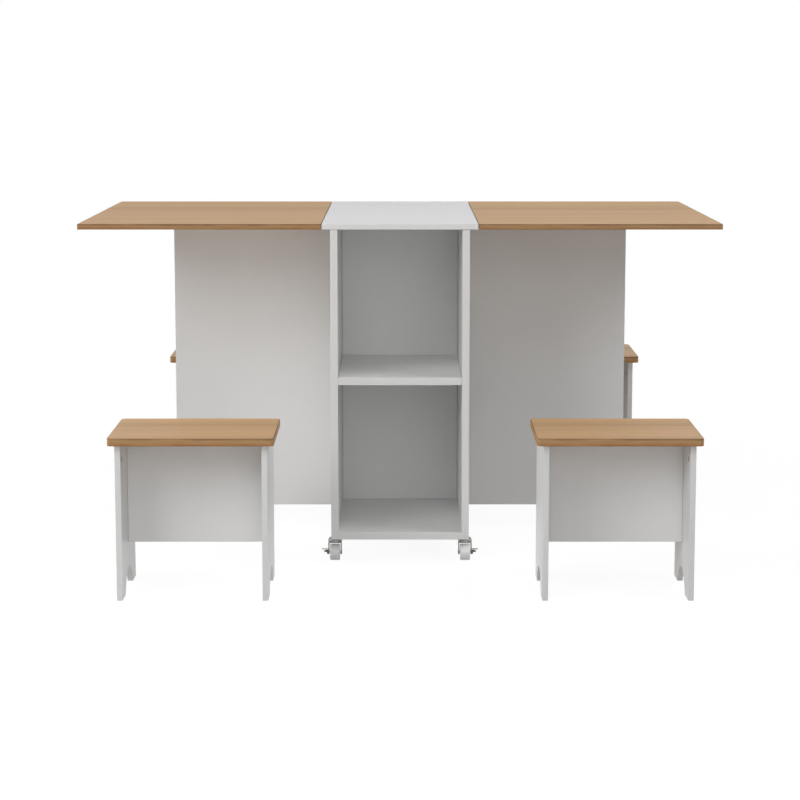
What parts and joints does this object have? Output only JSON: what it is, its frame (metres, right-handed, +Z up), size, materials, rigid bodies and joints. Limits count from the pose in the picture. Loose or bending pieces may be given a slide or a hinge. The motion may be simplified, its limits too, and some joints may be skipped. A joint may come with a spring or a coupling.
{
  "type": "dining table and stools set",
  "caption": "Folding dining table with an open cabinet on casters, swinging gates that carry two drop leaves, and matching backless stools.",
  "frame": {"origin": "on the floor under the middle of the table, which is the middle of the whole set", "axes": "+X along the opened top to the right seen from the front, +Y from the front to the back, +Z up"},
  "size_m": [1.4, 1.56, 0.75],
  "materials": {
    "white_board": "satin white melamine on particle board",
    "oak_board": "matt oak-look melamine on particle board",
    "zinc_steel": "zinc-plated pressed steel",
    "grey_tread": "light grey rubber",
    "black_plastic": "matt black moulded plastic"
  },
  "bodies": {
    "cabinet": {"centre_top": "white_board", "left_side_panel": "white_board", "right_side_panel": "white_board", "bottom_panel": "white_board", "divider_panel": "white_board", "front_shelf": "white_board", "rear_shelf": "white_board", "left_front_leaf_hinge_top_half": "zinc_steel", "left_rear_leaf_hinge_top_half": "zinc_steel", "left_lower_gate_hinge_side_half": "zinc_steel", "left_upper_gate_hinge_side_half": "zinc_steel", "right_front_leaf_hinge_top_half": "zinc_steel", "right_rear_leaf_hinge_top_half": "zinc_steel", "right_lower_gate_hinge_side_half": "zinc_steel", "right_upper_gate_hinge_side_half": "zinc_steel", "front_left_caster_stem": "zinc_steel", "front_right_caster_stem": "zinc_steel", "rear_left_caster_stem": "zinc_steel", "rear_right_caster_stem": "zinc_steel"},
    "left_leaf_body": {"left_leaf": "oak_board", "left_front_leaf_hinge_leaf_half": "zinc_steel", "left_rear_leaf_hinge_leaf_half": "zinc_steel"},
    "right_leaf_body": {"right_leaf": "oak_board", "right_front_leaf_hinge_leaf_half": "zinc_steel", "right_rear_leaf_hinge_leaf_half": "zinc_steel"},
    "left_gate_body": {"left_gate": "white_board", "left_gate_pad": "black_plastic", "left_lower_gate_hinge_gate_half": "zinc_steel", "left_upper_gate_hinge_gate_half": "zinc_steel"},
    "right_gate_body": {"right_gate": "white_board", "right_gate_pad": "black_plastic", "right_lower_gate_hinge_gate_half": "zinc_steel", "right_upper_gate_hinge_gate_half": "zinc_steel"},
    "front_left_caster_swivel_body": {"front_left_caster_fork": "zinc_steel"},
    "front_left_caster_wheel_body": {"front_left_caster_wheel": "grey_tread"},
    "front_left_caster_brake_body": {"front_left_caster_brake_lever": "black_plastic"},
    "front_right_caster_swivel_body": {"front_right_caster_fork": "zinc_steel"},
    "front_right_caster_wheel_body": {"front_right_caster_wheel": "grey_tread"},
    "front_right_caster_brake_body": {"front_right_caster_brake_lever": "black_plastic"},
    "rear_left_caster_swivel_body": {"rear_left_caster_fork": "zinc_steel"},
    "rear_left_caster_wheel_body": {"rear_left_caster_wheel": "grey_tread"},
    "rear_right_caster_swivel_body": {"rear_right_caster_fork": "zinc_steel"},
    "rear_right_caster_wheel_body": {"rear_right_caster_wheel": "grey_tread"},
    "front_left_stool": {"front_left_stool_seat": "oak_board", "front_left_stool_left_leg": "white_board", "front_left_stool_right_leg": "white_board", "front_left_stool_stretcher": "white_board"},
    "front_right_stool": {"front_right_stool_seat": "oak_board", "front_right_stool_left_leg": "white_board", "front_right_stool_right_leg": "white_board", "front_right_stool_stretcher": "white_board"},
    "rear_left_stool": {"rear_left_stool_seat": "oak_board", "rear_left_stool_left_leg": "white_board", "rear_left_stool_right_leg": "white_board", "rear_left_stool_stretcher": "white_board"},
    "rear_right_stool": {"rear_right_stool_seat": "oak_board", "rear_right_stool_left_leg": "white_board", "rear_right_stool_right_leg": "white_board", "rear_right_stool_stretcher": "white_board"}
  },
  "joints": [
    {"name": "left_leaf_lift", "type": "hinge", "parent": "cabinet", "child": "left_leaf_body", "pos_m": [-0.1706, 0, 0.7352], "axis": [0, 1, 0], "range_deg": [0, 4]},
    {"name": "right_leaf_lift", "type": "hinge", "parent": "cabinet", "child": "right_leaf_body", "pos_m": [0.1706, 0, 0.7352], "axis": [0, -1, 0], "range_deg": [0, 4]},
    {"name": "left_gate_fold", "type": "hinge", "parent": "cabinet", "child": "left_gate_body", "pos_m": [-0.1548, 0.0208, 0.4], "axis": [0, 0, -1], "range_deg": [0, 90]},
    {"name": "right_gate_fold", "type": "hinge", "parent": "cabinet", "child": "right_gate_body", "pos_m": [0.1548, 0.0208, 0.4], "axis": [0, 0, 1], "range_deg": [0, 90]},
    {"name": "front_left_caster_swivel", "type": "hinge", "parent": "cabinet", "child": "front_left_caster_swivel_body", "pos_m": [-0.1447, -0.353, 0.049], "axis": [0, 0, 1], "continuous": true},
    {"name": "front_left_caster_roll", "type": "hinge", "parent": "front_left_caster_swivel_body", "child": "front_left_caster_wheel_body", "pos_m": [-0.1447, -0.368, 0.018], "axis": [1, 0, 0], "continuous": true},
    {"name": "front_left_caster_brake", "type": "hinge", "parent": "front_left_caster_swivel_body", "child": "front_left_caster_brake_body", "pos_m": [-0.1447, -0.368, 0.018], "axis": [1, 0, 0], "range_deg": [0, 18]},
    {"name": "front_right_caster_swivel", "type": "hinge", "parent": "cabinet", "child": "front_right_caster_swivel_body", "pos_m": [0.1447, -0.353, 0.049], "axis": [0, 0, 1], "continuous": true},
    {"name": "front_right_caster_roll", "type": "hinge", "parent": "front_right_caster_swivel_body", "child": "front_right_caster_wheel_body", "pos_m": [0.1447, -0.368, 0.018], "axis": [1, 0, 0], "continuous": true},
    {"name": "front_right_caster_brake", "type": "hinge", "parent": "front_right_caster_swivel_body", "child": "front_right_caster_brake_body", "pos_m": [0.1447, -0.368, 0.018], "axis": [1, 0, 0], "range_deg": [0, 18]},
    {"name": "rear_left_caster_swivel", "type": "hinge", "parent": "cabinet", "child": "rear_left_caster_swivel_body", "pos_m": [-0.1447, 0.353, 0.049], "axis": [0, 0, 1], "continuous": true},
    {"name": "rear_left_caster_roll", "type": "hinge", "parent": "rear_left_caster_swivel_body", "child": "rear_left_caster_wheel_body", "pos_m": [-0.1447, 0.368, 0.018], "axis": [1, 0, 0], "continuous": true},
    {"name": "rear_right_caster_swivel", "type": "hinge", "parent": "cabinet", "child": "rear_right_caster_swivel_body", "pos_m": [0.1447, 0.353, 0.049], "axis": [0, 0, 1], "continuous": true},
    {"name": "rear_right_caster_roll", "type": "hinge", "parent": "rear_right_caster_swivel_body", "child": "rear_right_caster_wheel_body", "pos_m": [0.1447, 0.368, 0.018], "axis": [1, 0, 0], "continuous": true},
    {"name": "front_left_stool_pull_out", "type": "slide", "parent": "cabinet", "child": "front_left_stool", "axis": [0, -1, 0], "range_m": [0, 0.3]},
    {"name": "front_right_stool_pull_out", "type": "slide", "parent": "cabinet", "child": "front_right_stool", "axis": [0, -1, 0], "range_m": [0, 0.3]},
    {"name": "rear_left_stool_pull_out", "type": "slide", "parent": "cabinet", "child": "rear_left_stool", "axis": [0, 1, 0], "range_m": [0, 0.3]},
    {"name": "rear_right_stool_pull_out", "type": "slide", "parent": "cabinet", "child": "rear_right_stool", "axis": [0, 1, 0], "range_m": [0, 0.3]}
  ]
}
